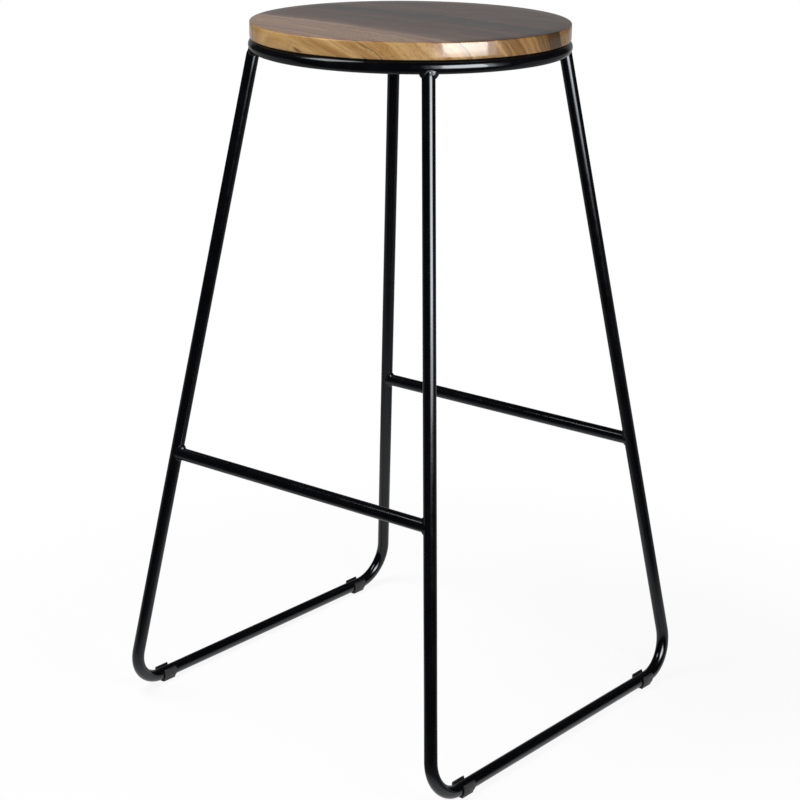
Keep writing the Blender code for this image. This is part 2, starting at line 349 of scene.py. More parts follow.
def object_point(tree):
    """The place on the object, which the pattern is read at."""
    return tree.nodes.new("ShaderNodeTexCoord").outputs["Object"]


def scaled(tree, vector, scale):
    node = tree.nodes.new("ShaderNodeMapping")
    node.inputs["Scale"].default_value = scale
    tree.links.new(vector, node.inputs["Vector"])
    return node.outputs[0]


def measured_from(tree, place, origin):
    node = add(tree, "VectorMath", Vector=place)
    node.operation = "SUBTRACT"
    node.inputs[1].default_value = origin
    return node.outputs[0]


def vector_length(tree, vector):
    node = add(tree, "VectorMath", Vector=vector)
    node.operation = "LENGTH"
    return node.outputs["Value"]


def reach_along(tree, vector, direction):
    node = add(tree, "VectorMath", Vector=vector)
    node.operation = "DOT_PRODUCT"
    node.inputs[1].default_value = direction
    return node.outputs["Value"]


def offset_by(tree, value, reach):
    """A noise value turned into a shift of up to about reach either way."""
    centred = math_node(tree, "SUBTRACT", value, 0.5)
    return math_node(tree, "MULTIPLY", centred, reach)


def noise_value(tree, vector, scale, detail=3.0, roughness=0.5):
    node = add(tree, "TexNoise", Vector=vector, Scale=scale, Detail=detail, Roughness=roughness)
    return node.outputs[0]


def stretched_noise(tree, vector, scales, detail, roughness=0.5):
    return noise_value(tree, scaled(tree, vector, scales), 1.0, detail, roughness)


def ramp(tree, value, stops):
    node = add(tree, "ValToRGB", Fac=value)
    elements = node.color_ramp.elements
    while len(elements) < len(stops):
        elements.new(0.5)
    for element, (position, colour) in zip(elements, stops):
        element.position = position
        element.color = (*colour, 1.0)
    return node.outputs["Color"]


def bump(tree, shader, height, distance, strength, coat=False):
    node = add(tree, "Bump", Height=height, Distance=distance, Strength=strength)
    tree.links.new(node.outputs[0], shader.inputs["Normal"])
    if coat:
        tree.links.new(node.outputs[0], shader.inputs["Coat Normal"])


# ---------------------------------------------------------------- materials

# The seat's board: its growth layers lie round a pith that passes below the front rim and dips
# towards the right, so the layers run along the top and stand steep in the end grain.
PITH_AT = (0.0, -0.200, -0.055)
PITH_SIDEWAYS = 0.11
PITH_DIP = 0.46
KNOT_AT = (-0.009, -0.1687, -0.0058)
KNOT_TURN = math.radians(-22)
KNOT_STRETCH = 0.32
KNOT_SIZE = (0.0006, 0.0022)
KNOT_DEPTH = 0.80
KNOT_REACH = 0.0022
SWAY_REACH = 0.036
RIPPLE_REACH = 0.010
HEART_BORDER = (0.137, 0.157)
BROAD_LAYER = 0.005
BROAD_CORE = 0.75
THIN_CORE = 0.25
TOP_DEPTH = 0.0004

# Scales of the wood's noises: along the trunk and across it twice, then of the layers' bands
SWAY_SCALES = (3.0, 9.0, 9.0)
RIPPLE_SCALES = (16.0, 50.0, 50.0)
PATCH_SCALES = (12.0, 22.0, 22.0)
FIBRE_SCALES = (20.0, 520.0, 520.0)
PORE_SCALES = (70.0, 1500.0, 1500.0)
FINE_BANDS = 150.0
BROAD_BANDS = 42.0
BAND_DRIFT = 0.04

# Where each effect fades in, as values of its noise or of the distance from the pith, and how
# strong it gets
WARM_FADE, WARM_STRENGTH = (0.40, 0.62), 0.28
PATCH_FADE, PATCH_FAINTEST = (0.38, 0.52), 0.25
STREAK_FADE, STREAK_STRENGTH = (0.30, 0.52), 0.30
PORE_FADE, PORE_STRENGTH = (0.26, 0.36), 0.45
BACK_FADE, BACK_STRENGTH = (0.145, 0.200), 0.28
HEART_STRENGTH = 0.72
# The next value is the share of painted reflection mixed into the pale top.
PALE_TOP_REFLECTION_SHARE = 0.40

# Distance from the pith, half width and depth of the darkest lines
DARK_LAYERS = (
    (0.0825, 0.0011, 0.80), (0.0910, 0.0010, 0.50), (0.1220, 0.0012, 0.50),
    (0.1470, 0.0022, 0.70), (0.2280, 0.0090, 0.55), (0.2450, 0.0130, 0.90))

# Colours, the first two as stops along a ramp
PALE_WOOD = (
    (0.30, (0.300, 0.150, 0.048)), (0.42, (0.400, 0.225, 0.080)),
    (0.55, (0.470, 0.290, 0.115)), (0.72, (0.560, 0.380, 0.175)))
BROWN_WOOD = (
    (0.28, (0.085, 0.040, 0.013)), (0.42, (0.190, 0.100, 0.036)),
    (0.55, (0.300, 0.170, 0.064)), (0.72, (0.430, 0.260, 0.110)))
WARM_BAND = (0.330, 0.165, 0.055, 1.0)
DARK_LINE = (0.040, 0.019, 0.008, 1.0)
KNOT_BROWN = (0.100, 0.055, 0.015, 1.0)
STREAK_BROWN = (0.090, 0.045, 0.016, 1.0)
PORE_BROWN = (0.030, 0.014, 0.006, 1.0)
# The next two are painted reflection: they darken and grey the top as the dim room mirrored in its
# lacquer would.
PALE_TOP_REFLECTION_TINT = (0.115, 0.083, 0.137, 1.0)
BROWN_TOP_REFLECTION_TINT = (0.240, 0.165, 0.210, 1.0)
STEEL_TONES = ((0.0011, 0.0012, 0.0019, 1.0), (0.0020, 0.0021, 0.0030, 1.0))
STEEL_SHEEN = (0.90, 0.95, 1.0, 1.0)
PLASTIC_TONES = ((0.0050, 0.0046, 0.0060, 1.0), (0.0120, 0.0114, 0.0140, 1.0))
ZINC_TONES = ((0.42, 0.42, 0.40, 1.0), (0.66, 0.65, 0.60, 1.0))
WHITE = (1.0, 1.0, 1.0, 1.0)

# Lowest and highest roughness of each finish
WOOD_ROUGHNESS = (0.40, 0.55)
LACQUER_ROUGHNESS = 0.085
STEEL_ROUGHNESS = (0.10, 0.17)
WELD_ROUGHNESS = (0.22, 0.36)
PLASTIC_ROUGHNESS = (0.48, 0.64)
ZINC_ROUGHNESS = (0.24, 0.42)
STEEL_RELIEF = 0.14
WELD_RELIEF = 0.30

# The values that a noise mostly stays between
NOISE_SPAN = (0.3, 0.7)


def growth_layers(tree, place):
    """The place in grain axes, whose X runs with the trunk, the distance from the pith, made
    uneven as growth rings are, and the fine noise behind that."""
    grain_node = tree.nodes.new("ShaderNodeMapping")
    trunk = Vector((1.0, PITH_SIDEWAYS, -PITH_DIP))
    turn = trunk.rotation_difference(Vector((1, 0, 0)))
    grain_node.inputs["Rotation"].default_value = turn.to_euler()
    from_pith = measured_from(tree, place, middle("seat_top") + Vector(PITH_AT))
    tree.links.new(from_pith, grain_node.inputs["Vector"])
    grain = grain_node.outputs[0]
    sway = stretched_noise(tree, grain, SWAY_SCALES, detail=2.0)
    ripple = stretched_noise(tree, grain, RIPPLE_SCALES, detail=3.0, roughness=0.55)
    parts = add(tree, "SeparateXYZ", Vector=grain)
    y_squared = math_node(tree, "POWER", parts.outputs["Y"], 2.0)
    z_squared = math_node(tree, "POWER", parts.outputs["Z"], 2.0)
    distance = math_node(tree, "SQRT", math_node(tree, "ADD", y_squared, z_squared))
    swayed = math_node(tree, "ADD", distance, offset_by(tree, sway, SWAY_REACH))
    return grain, math_node(tree, "ADD", swayed, offset_by(tree, ripple, RIPPLE_REACH)), ripple


def layer_colour(tree, grain, layer, heart):
    """Colour of the layers: pale near the pith, brown in the heart, warm in broad bands."""
    trunkwise = add(tree, "SeparateXYZ", Vector=grain).outputs["X"]
    along = math_node(tree, "MULTIPLY", trunkwise, BAND_DRIFT)
    layer_point = add(tree, "CombineXYZ", X=layer, Y=along).outputs[0]
    bands = noise_value(tree, layer_point, FINE_BANDS, detail=3.0, roughness=0.6)
    broad = noise_value(tree, layer_point, BROAD_BANDS, detail=1.0)
    colour = mix_colour(tree, heart, ramp(tree, bands, PALE_WOOD), ramp(tree, bands, BROWN_WOOD))
    warm = math_node(tree, "MULTIPLY", remap(tree, broad, *WARM_FADE), WARM_STRENGTH)
    return mix_colour(tree, warm, colour, WARM_BAND, "MULTIPLY")


def with_dark_layers(tree, colour, grain, layer):
    """The thin ones come and go along the grain. The broad ones don't."""
    patches = stretched_noise(tree, grain, PATCH_SCALES, detail=1.0)
    for radius, half_width, depth in DARK_LAYERS:
        gap = math_node(tree, "ABSOLUTE", math_node(tree, "SUBTRACT", layer, radius))
        broad = half_width > BROAD_LAYER
        core = half_width * (BROAD_CORE if broad else THIN_CORE)
        line = remap(tree, gap, core, half_width, depth, 0.0)
        if not broad:
            line = math_node(tree, "MULTIPLY", line,
                             remap(tree, patches, *PATCH_FADE, PATCH_FAINTEST, 1.0))
        colour = mix_colour(tree, line, colour, DARK_LINE)
    return colour


def with_knot(tree, colour, place, ripple):
    """A small knot in the front edge, drawn out along the grain."""
    turned_knot = add(tree, "VectorRotate", Angle=KNOT_TURN,
                      Vector=measured_from(tree, place, middle("seat_top") + Vector(KNOT_AT)))
    turned_knot.rotation_type = "Y_AXIS"
    away = vector_length(tree, scaled(tree, turned_knot.outputs[0], (KNOT_STRETCH, 1.0, 1.0)))
    uneven = math_node(tree, "ADD", away, offset_by(tree, ripple, KNOT_REACH))
    knot = remap(tree, uneven, *KNOT_SIZE, KNOT_DEPTH, 0.0)
    return mix_colour(tree, knot, colour, KNOT_BROWN)


def with_pores(tree, colour, grain, fibre):
    """Brown streaks along the fibres, and the dark pits of the pores."""
    pores = stretched_noise(tree, grain, PORE_SCALES, detail=1.0)
    streaks = math_node(tree, "MULTIPLY", remap(tree, fibre, *STREAK_FADE, 1.0, 0.0),
                        STREAK_STRENGTH)
    colour = mix_colour(tree, streaks, colour, STREAK_BROWN)
    pits = math_node(tree, "MULTIPLY", remap(tree, pores, *PORE_FADE, 1.0, 0.0), PORE_STRENGTH)
    return mix_colour(tree, pits, colour, PORE_BROWN)


def with_painted_top_reflection(tree, colour, place, layer, heart):
    """Painted reflection: the top is darker and greyer than the end grain of the rim, standing
    in for the dim room mirrored in its lacquer, and darkest over the heart.
    """
    height = add(tree, "SeparateXYZ", Vector=place).outputs["Z"]
    top_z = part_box("seat_top")[1].z
    on_top = remap(tree, height, top_z - TOP_DEPTH, top_z)
    deepening = math_node(tree, "ADD", remap(tree, heart, 0.0, 1.0, 0.0, HEART_STRENGTH),
                          remap(tree, layer, *BACK_FADE, 0.0, BACK_STRENGTH))
    # Painted reflection mixed into the top's colour, stronger over the heart and further from the
    # pith.
    pale_top = mix_colour(tree, PALE_TOP_REFLECTION_SHARE, colour, PALE_TOP_REFLECTION_TINT)
    brown_top = mix_colour(tree, 1.0, colour, BROWN_TOP_REFLECTION_TINT, "MULTIPLY")
    top = mix_colour(tree, deepening, pale_top, brown_top)
    return mix_colour(tree, on_top, colour, top)


def wood_material():
    """Solid figured hardwood under clear lacquer: pale near the pith, brown further out, with
    dark lines between."""
    material, tree, shader = new_material("seat_wood")
    place = object_point(tree)
    grain, layer, ripple = growth_layers(tree, place)
    heart = remap(tree, layer, *HEART_BORDER)
    fibre = stretched_noise(tree, grain, FIBRE_SCALES, detail=2.0, roughness=0.6)
    colour = layer_colour(tree, grain, layer, heart)
    colour = with_dark_layers(tree, colour, grain, layer)
    colour = with_knot(tree, colour, place, ripple)
    colour = with_pores(tree, colour, grain, fibre)
    # The top gets a painted reflection in its colour.
    colour = with_painted_top_reflection(tree, colour, place, layer, heart)
    tree.links.new(colour, shader.inputs["Base Color"])

    wear = noise_value(tree, place, scale=30.0, detail=3.0)
    tree.links.new(remap(tree, wear, *NOISE_SPAN, *WOOD_ROUGHNESS), shader.inputs["Roughness"])
    shader.inputs["Specular IOR Level"].default_value = 0.10
    shader.inputs["Coat Weight"].default_value = 1.0
    shader.inputs["Coat Roughness"].default_value = LACQUER_ROUGHNESS
    shader.inputs["Coat IOR"].default_value = 1.5
    lacquer = noise_value(tree, place, scale=42.0, detail=2.0)
    relief = math_node(tree, "ADD", lacquer, math_node(tree, "MULTIPLY", fibre, 0.04))
    bump(tree, shader, relief, distance=0.0002, strength=0.8, coat=True)
    return material


def steel_material(name, roughness, relief):
    """Gloss black powder coat: deep black, with faint orange peel and uneven gloss."""
    material, tree, shader = new_material(name)
    tone = noise_value(tree, object_point(tree), scale=40.0, detail=3.0)
    colour = mix_colour(tree, remap(tree, tone, 0.35, 0.7), *STEEL_TONES)
    tree.links.new(colour, shader.inputs["Base Color"])
    smear = noise_value(tree, object_point(tree), scale=90.0, detail=4.0)
    tree.links.new(remap(tree, smear, 0.3, 0.72, *roughness), shader.inputs["Roughness"])
    shader.inputs["Specular IOR Level"].default_value = 0.5
    shader.inputs["Specular Tint"].default_value = STEEL_SHEEN
    peel = noise_value(tree, object_point(tree), scale=170.0, detail=2.0)
    bump(tree, shader, peel, distance=0.00010, strength=relief)
    return material


def plastic_material():
    """Matte black moulded plastic with a fine spark-eroded texture."""
    material, tree, shader = new_material("glide_plastic")
    tone = noise_value(tree, object_point(tree), scale=300.0, detail=4.0)
    colour = mix_colour(tree, tone, *PLASTIC_TONES)
    tree.links.new(colour, shader.inputs["Base Color"])
    roughness = remap(tree, tone, *NOISE_SPAN, *PLASTIC_ROUGHNESS)
    tree.links.new(roughness, shader.inputs["Roughness"])
    grain = noise_value(tree, object_point(tree), scale=2600.0, detail=2.0)
    bump(tree, shader, grain, distance=0.00004, strength=0.6)
    return material


def zinc_material():
    """Bright zinc plating, a little cloudy, with turning marks round the screw's axis."""
    material, tree, shader = new_material("zinc_steel")
    cloud = noise_value(tree, object_point(tree), scale=500.0, detail=4.0)
    colour = mix_colour(tree, cloud, *ZINC_TONES)
    tree.links.new(colour, shader.inputs["Base Color"])
    shader.inputs["Metallic"].default_value = 1.0
    roughness = remap(tree, cloud, *NOISE_SPAN, *ZINC_ROUGHNESS)
    tree.links.new(roughness, shader.inputs["Roughness"])
    flattened = scaled(tree, object_point(tree), (1.0, 1.0, 9.0))
    marks = noise_value(tree, flattened, scale=700.0, detail=2.0)
    bump(tree, shader, marks, distance=0.00003, strength=0.5)
    return material


# ---------------------------------------------------------------- pieces

def build_seat(material):
    """Flat disc with an eased edge, very slightly crowned round its rim."""
    low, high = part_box("seat_top")
    radius = (high.x - low.x) / 2
    edge = SEAT_EDGE_RADIUS
    inner = radius - edge
    rim_top = arc(inner - SEAT_CROWN, high.z - edge, edge,
                  90, SEAT_RIM_TURN, SEAT_RIM_STEPS)
    rim_bottom = arc(inner - SEAT_CROWN, low.z + edge, edge,
                     -SEAT_RIM_TURN, -90, SEAT_RIM_STEPS)
    half = (high.z - low.z) / 2 - edge
    wall = [(radius - SEAT_CROWN * level * level, (high.z + low.z) / 2 + half * level)
            for level in SEAT_WALL_LEVELS]
    top = [(inner * share, high.z) for share in SEAT_RINGS]
    bottom = [(inner * share, low.z) for share in reversed(SEAT_RINGS)]
    profile = [(0.0, high.z)] + top + rim_top + wall + rim_bottom + bottom + [(0.0, low.z)]
    new_piece("seat", turned(profile, SEAT_SEGMENTS), material, "seat_wood", "seat_top")


def build_ring(material):
    """Ring of round bar, with no seam showing."""
    work = bmesh.new()
    rings = []
    for i in range(RING_SEGMENTS):
        angle = 2 * math.pi * i / RING_SEGMENTS
        out = Vector((math.cos(angle), math.sin(angle), 0.0))
        centre = out * RING_RADIUS + Vector((0.0, 0.0, RING_Z))
        rings.append(circle_round(centre, out, Vector((0.0, 0.0, 1.0)), BAR_RADIUS))
    loft(work, rings)
    new_piece("ring", work, material, "black_steel", "seat_ring")


def leg_radius(from_top):
    """The leg narrows a little where it is dressed to meet the ring."""
    share = (TAPER_START - from_top) / (TAPER_START - TAPER_END)
    share = min(1.0, max(0.0, share))
    return BAR_RADIUS - TAPER * share * share * (3 - 2 * share)


def leg_end(top, corner):
    """Places down the narrowed end of a leg."""
    down = (corner - top).normalized()
    return [top + down * (TAPER_START * step / TAPER_STEPS) for step in range(TAPER_STEPS + 1)]


def build_side_frame(material, side_name, side):
    front_top, rear_top = leg_top(side, -1), leg_top(side, 1)
    front_corner, rear_corner = frame_corner(side, -1), frame_corner(side, 1)
    front_bend = rounded_corner(front_corner, front_top, rear_corner)
    rear_bend = rounded_corner(rear_corner, front_corner, rear_top)
    front_end, rear_end = leg_end(front_top, front_corner), leg_end(rear_top, rear_corner)
    points = front_end[:-1] + straight(front_end[-1], front_bend[0]) + front_bend[:-1]
    points += straight(front_bend[-1], rear_bend[0]) + rear_bend[:-1]
    points += straight(rear_bend[-1], rear_end[-1]) + rear_end[::-1]
    radii = [leg_radius(min((point - front_top).length, (point - rear_top).length))
             for point in points]
    plane = (front_top - front_corner).cross(rear_corner - front_corner).normalized()
    new_piece("side_frame_bar_" + side_name, bar(points, radii, plane), material,
              "black_steel", "side_frame_" + side_name)


def build_footrest(material, end_name, end):
    left, right = (leg_point(side, end, FOOTREST_Z) for side in (-1, 1))
    points = straight(left, right) + [right]
    work = bar(points, [BAR_RADIUS] * len(points), Vector((0.0, 0.0, 1.0)))
    new_piece("footrest_bar_" + end_name, work, material, "black_steel",
              "footrest_" + end_name)


def ring_axis_point(point):
    """The nearest point on the ring's centre line."""
    out = Vector((point.x, point.y, 0.0)).normalized()
    return out * RING_RADIUS + Vector((0.0, 0.0, RING_Z))


def line_axis_point(origin, direction):
    return lambda point: origin + direction * (point - origin).dot(direction)


def pressed_on(point, axis_point, radius=BAR_RADIUS):
    """The point moved radially to just under the surface of a bar."""
    centre = axis_point(point)
    return centre + (point - centre).normalized() * (radius - FILLET_SINK)


def seam(joint, bar_direction, host_direction, end_radius, angle):
    """One place on the seam where a bar's end meets another bar: the place, then the outward
    normals of the ending bar and of its host there. It is where a line along the ending bar's
    skin runs into the host's skin, from a quadratic equation."""
    first = bar_direction.cross(host_direction).normalized()
    second = bar_direction.cross(first)
    normal = first * math.cos(angle) + second * math.sin(angle)
    spoke = normal * end_radius
    across = bar_direction - host_direction * bar_direction.dot(host_direction)
    spoke_across = spoke - host_direction * spoke.dot(host_direction)
    a = across.length_squared
    b = spoke_across.dot(across)
    c = spoke_across.length_squared - BAR_RADIUS ** 2
    back = (b + math.sqrt(max(b * b - a * c, 0.0))) / a
    host_normal = (spoke_across - across * back).normalized()
    return joint + spoke - bar_direction * back, normal, host_normal


def fillet_section(place, along, bar_normal, host_normal, bar_direction, size, bulge, press):
    """Section of a fillet at one place on its seam: from the ending bar to its host, and back
    through the root."""
    on_bar = (-bar_direction - along * -bar_direction.dot(along)).normalized()
    on_host = host_normal.cross(along).normalized()
    if on_host.dot(on_bar) > SAME_WAY or on_host.dot(bar_normal) < INWARD:
        on_host.negate()
    outward = (bar_normal + host_normal).normalized()
    press_bar, press_host = press
    toe_bar = press_bar(place + on_bar * size)
    toe_host = press_host(place + on_host * size)
    section = []
    for step in range(FILLET_STEPS + 1):
        share = step / FILLET_STEPS
        point = toe_bar.lerp(toe_host, share)
        section.append(point + outward * (bulge * math.sin(math.pi * share)))
    section.append(place - outward * FILLET_ROOT)
    return section


def weld_fillet(joint, bar_direction, host_direction, host_axis, radius_at, notch_size, seed):
    """Closed fillet along the seam, fat in the two notches and thin where the bars are flush,
    with the overlapping ripples that a hand-held torch leaves."""
    draw = random.Random(seed)
    bar_axis = line_axis_point(joint, bar_direction)
    offset = Vector((draw.uniform(-9, 9), draw.uniform(-9, 9), draw.uniform(-9, 9)))
    lopsided = draw.uniform(-LOPSIDED, LOPSIDED)
    places = [seam(joint, bar_direction, host_direction, radius_at(0.0),
                   2 * math.pi * i / SEAM_STEPS) for i in range(SEAM_STEPS)]

    def press_bar(point):
        return pressed_on(point, bar_axis, radius_at((bar_axis(point) - joint).length))

    def press_host(point):
        return pressed_on(point, host_axis)

    sections = []
    travelled = 0.0
    for i, (place, bar_normal, host_normal) in enumerate(places):
        after = places[(i + 1) % SEAM_STEPS][0]
        along = (after - places[i - 1][0]).normalized()
        travelled += (after - place).length
        notch = min(1.0, max(0.0, 1.0 - bar_normal.dot(host_normal)))
        waver = noise.noise(place * WAVER_SCALE + offset)
        size = FILLET_FLUSH + (notch_size - FILLET_FLUSH) * notch
        size *= 1 + WAVER_SIZE * waver + lopsided * math.sin(2 * math.pi * i / SEAM_STEPS)
        ripple = abs(math.sin(math.pi * travelled / RIPPLE_PITCH)) ** RIPPLE_POWER
        bulge = FILLET_BULGE_FLUSH + (FILLET_BULGE_NOTCH - FILLET_BULGE_FLUSH) * notch
        bulge = bulge * (1 + WAVER_BULGE * waver) + RIPPLE_DEPTH * ripple * notch
        sections.append(fillet_section(place, along, bar_normal, host_normal, bar_direction,
                                       size, bulge, (press_bar, press_host)))
    work = bmesh.new()
    loft(work, sections)
    return work


def build_welds(material):
    seed = FIRST_SEED
    for side_name, side in SIDES.items():
        for end_name, end in ENDS.items():
            name = end_name + "_" + side_name
            top = leg_top(side, end)
            leg = (top - frame_corner(side, end)).normalized()
            tangent = Vector((-end, side, 0.0)).normalized()
            work = weld_fillet(top, leg, tangent, ring_axis_point, leg_radius, LEG_FILLET, seed)
            new_piece("weld_bead_leg_" + name, work, material, "black_steel",
                      "weld_leg_" + name)
            joint = leg_point(side, end, FOOTREST_Z)
            outward = Vector((side, 0.0, 0.0))
            work = weld_fillet(joint, outward, leg, line_axis_point(joint, leg),
                               lambda from_joint: BAR_RADIUS, FOOTREST_FILLET, seed + 1)
            new_piece("weld_bead_footrest_" + name, work, material, "black_steel",
                      "weld_footrest_" + name)
            seed += 2


def chamfered(outline, amount):
    """A flat closed outline with each of its corners cut back along both sides, by a
    little under half a side at most."""
    points = []
    for i, corner in enumerate(outline):
        for other in (outline[i - 1], outline[(i + 1) % len(outline)]):
            side = other - corner
            points.append(corner + side * min(0.5, amount / side.length) * CHAMFER_SHARE)
    return points


def inset(outline, amount):
    """A closed outline, walked anticlockwise, moved inward."""
    points = []
    for i, corner in enumerate(outline):
        along = (outline[(i + 1) % len(outline)] - outline[i - 1]).normalized()
        points.append(corner + Vector((-along.y, along.x)) * amount)
    return points


def glide_outline():
    """Section of the clip across the runner, about the runner's centre line."""
    low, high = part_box("floor_glide_front_right")
    base, top = low.z - RUNNER_Z, high.z - RUNNER_Z
    wall = (high.x - low.x) / 2
    right = [
        (GLIDE_SOLE_HALF_WIDTH, base), (GLIDE_FOOT[0], base + GLIDE_FOOT[1]),
        (GLIDE_WAIST[0], base + GLIDE_WAIST[1]), (wall, GLIDE_WALL_BOTTOM),
        (wall, top - GLIDE_LIP_BEVEL[1]), (wall - GLIDE_LIP_BEVEL[0], top),
        (wall - GLIDE_LIP_IN, top)]
    bore = arc(0.0, 0.0, BAR_RADIUS + GLIDE_GAP, GLIDE_MOUTH, -180 - GLIDE_MOUTH,
               GLIDE_BORE_STEPS)
    left = [(-x, z) for x, z in reversed(right)]
    outer = chamfered([Vector(p) for p in left + right], GLIDE_EDGE)
    return outer + [Vector(p) for p in bore]


def build_glides(material):
    """Clip-on glides with softened edges."""
    outline = glide_outline()
    for side_name, side in SIDES.items():
        for end_name in ENDS:
            node = "floor_glide_" + end_name + "_" + side_name
            low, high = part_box(node)
            start = [(low.y + GLIDE_EDGE * back, GLIDE_EDGE * deep) for back, deep in EDGE_STEPS]
            finish = [(high.y - GLIDE_EDGE * back, GLIDE_EDGE * deep) for back, deep in EDGE_STEPS]
            sections = []
            for y, depth in start + finish[::-1]:
                sections.append([Vector((side * RUNNER_X + p.x, y, RUNNER_Z + p.y))
                                 for p in inset(outline, depth)])
            work = bmesh.new()
            grid = loft(work, sections, closed=False)
            work.faces.new(grid[0])
            work.faces.new(grid[-1][::-1])
            new_piece("glide_clip_" + end_name + "_" + side_name, work, material,
                      "glide_plastic", node)


def plate(outline, hole_at, bottom, top, edge, placement):
    """Flat plate with rounded edges and a round hole, which the outline goes round once,
    anticlockwise."""
    work = bmesh.new()
    sections = []
    for i, corner in enumerate(outline):
        along = (outline[(i + 1) % len(outline)] - outline[i - 1]).normalized()
        inward = Vector((-along.y, along.x))
        spoke = (corner - hole_at).normalized()
        section = []
        for level, turns in ((top - edge, (90, 60, 30, 0)), (bottom + edge, (0, -30, -60, -90))):
            for turn in turns:
                back, rise = 1 - math.cos(math.radians(turn)), math.sin(math.radians(turn))
                section.append((corner + inward * (edge * back), level + edge * rise))
        for radius, level in ((HOLE_RADIUS + edge / 2, bottom), (HOLE_RADIUS, bottom + edge / 2),
                              (HOLE_RADIUS, top - edge / 2), (HOLE_RADIUS + edge / 2, top)):
            section.append((hole_at + spoke * radius, level))
        sections.append([placement @ Vector((flat.x, flat.y, level)) for flat, level in section])
    loft(work, sections)
    return work


def tab_outline():
    """Outline of the right-hand tab: square where it meets the ring, rounded at the free end."""
    low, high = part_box("seat_tab_right")
    outer, half_width = high.x + TAB_REACH, (high.y - low.y) / 2
    corner_x, corner_y = low.x + TAB_CORNER_RADIUS, half_width - TAB_CORNER_RADIUS
    rear = [Vector(p) for p in arc(corner_x, corner_y, TAB_CORNER_RADIUS,
                                   90, 180, TAB_CORNER_STEPS)]
    front = [Vector(p) for p in arc(corner_x, -corner_y, TAB_CORNER_RADIUS,
                                    180, 270, TAB_CORNER_STEPS)]
    ends = [Vector((outer, -half_width)), Vector((outer, half_width))]
    return (straight(ends[0], ends[1], PLATE_STEP) + straight(ends[1], rear[0], PLATE_STEP)
            + rear[:-1] + straight(rear[-1], front[0], PLATE_STEP)
            + front[:-1] + straight(front[-1], ends[0], PLATE_STEP))


def cross_angles():
    """Directions round the screw, with one at each corner of its cross recess."""
    corner = math.atan2(CROSS_HALF_WIDTH, CROSS_HALF_LENGTH)
    diagonal = math.pi / 4
    gap = (diagonal - corner) / 3
    eighth = [0.0, corner / 2, corner, corner + gap, corner + 2 * gap]
    quarter = eighth + [diagonal] + [math.pi / 2 - a for a in eighth[:0:-1]]
    return [a + quadrant * math.pi / 2 for quadrant in range(4) for a in quarter]


def cross_reach(angle):
    """Distance from the screw's axis to the wall of the cross recess."""
    along, across = abs(math.cos(angle)), abs(math.sin(angle))
    return max(min(CROSS_HALF_LENGTH / max(along, TINY), CROSS_HALF_WIDTH / max(across, TINY)),
               min(CROSS_HALF_LENGTH / max(across, TINY), CROSS_HALF_WIDTH / max(along, TINY)))


def thread_reach(angle, height, tip):
    """Radius of the threaded shank: a helical ridge on a core that comes to a point."""
    phase = (height / THREAD_PITCH - angle / (2 * math.pi)) % 1.0
    ridge = max(0.0, 1.0 - abs(phase - 0.5) / THREAD_HALF_WIDTH)
    point = min(1.0, max(TIP_SHARE, (tip - height) / TIP_LENGTH))
    return (THREAD_CORE + (THREAD_RADIUS - THREAD_CORE) * ridge) * point


def screw(placement, bottom, tip):
    """Pan-head wood screw, head down, with a cross recess."""
    angles = cross_angles()
    seat_of_head = bottom + HEAD_HEIGHT
    rings = [[(CROSS_FLOOR_SHARE * cross_reach(a), bottom + CROSS_DEPTH) for a in angles],
             [(cross_reach(a), bottom + HEAD_PROFILE[0][1] / 2) for a in angles]]
    rings += [[(radius, bottom + level)] * len(angles) for radius, level in HEAD_PROFILE]
    rings += [[(THREAD_RADIUS, seat_of_head + level)] * len(angles)
              for level in SHANK_LEVELS]
    height = seat_of_head + THREAD_START
    while height < tip:
        rings.append([(thread_reach(a, height, tip), height) for a in angles])
        height += THREAD_PITCH / THREAD_STEPS
    rings.append([(TIP_RADIUS, tip)] * len(angles))
    work = bmesh.new()
    grid = loft(work, [
        [placement @ Vector((reach * math.cos(a), reach * math.sin(a), level))
         for a, (reach, level) in zip(angles, ring)] for ring in rings], closed=False)
    cap(work, grid[0])
    cap(work, grid[-1])
    return work


def build_fixings(steel, zinc):
    """Tabs inside the ring, each with its screw and washer."""
    outline = tab_outline()
    hole_at = middle("seat_screw_right").to_2d()
    for place, turn in TAB_TURNS.items():
        about_z = Matrix.Rotation(math.radians(turn), 4, "Z")
        at_hole = about_z @ Matrix.Translation((hole_at.x, hole_at.y, 0.0))
        tab, washer = "seat_tab_" + place, "screw_washer_" + place
        low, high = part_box(tab)
        work = plate(outline, hole_at, low.z, high.z, TAB_EDGE, about_z)
        new_piece("tab_plate_" + place, work, steel, "black_steel", tab)
        low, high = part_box(washer)
        radius = (high.x - low.x) / 2
        rim = [Vector(p) for p in arc(0.0, 0.0, radius, 0, 360, WASHER_SIDES)[:-1]]
        work = plate(rim, Vector((0.0, 0.0)), low.z, high.z, WASHER_EDGE, at_hole)
        new_piece("washer_disc_" + place, work, zinc, "zinc_steel", washer)
        low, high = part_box("seat_screw_" + place)
        new_piece("screw_pan_" + place, screw(at_hole, low.z, high.z), zinc, "zinc_steel",
                  "seat_screw_" + place)


# ---------------------------------------------------------------- stage, light and camera

VIEW_AZIMUTH = 38.686
VIEW_ELEVATION = 16.754
VIEW_DISTANCE = 2.3145
VIEW_TARGET_Z = 0.3796
VIEW_PAN = 0.182
VIEW_TILT = -0.885
VIEW_ROLL = -0.594
LENS_MM = 94.384
SENSOR_MM = 36.0

BACK_WALL_TURN = math.radians(VIEW_AZIMUTH + 88)
BACK_WALL = Vector((math.cos(BACK_WALL_TURN), math.sin(BACK_WALL_TURN), 0.0))
WALL_SPREAD = (0.82, 0.93)
WALL_GLOW = 0.22
WALL_FADE, WALL_TOP_SHARE = (0.02, 0.45), 0.2
DARK_STUDIO = 0.02
EVEN_LIGHT = (0.12, 0.12, 0.12, 1.0)
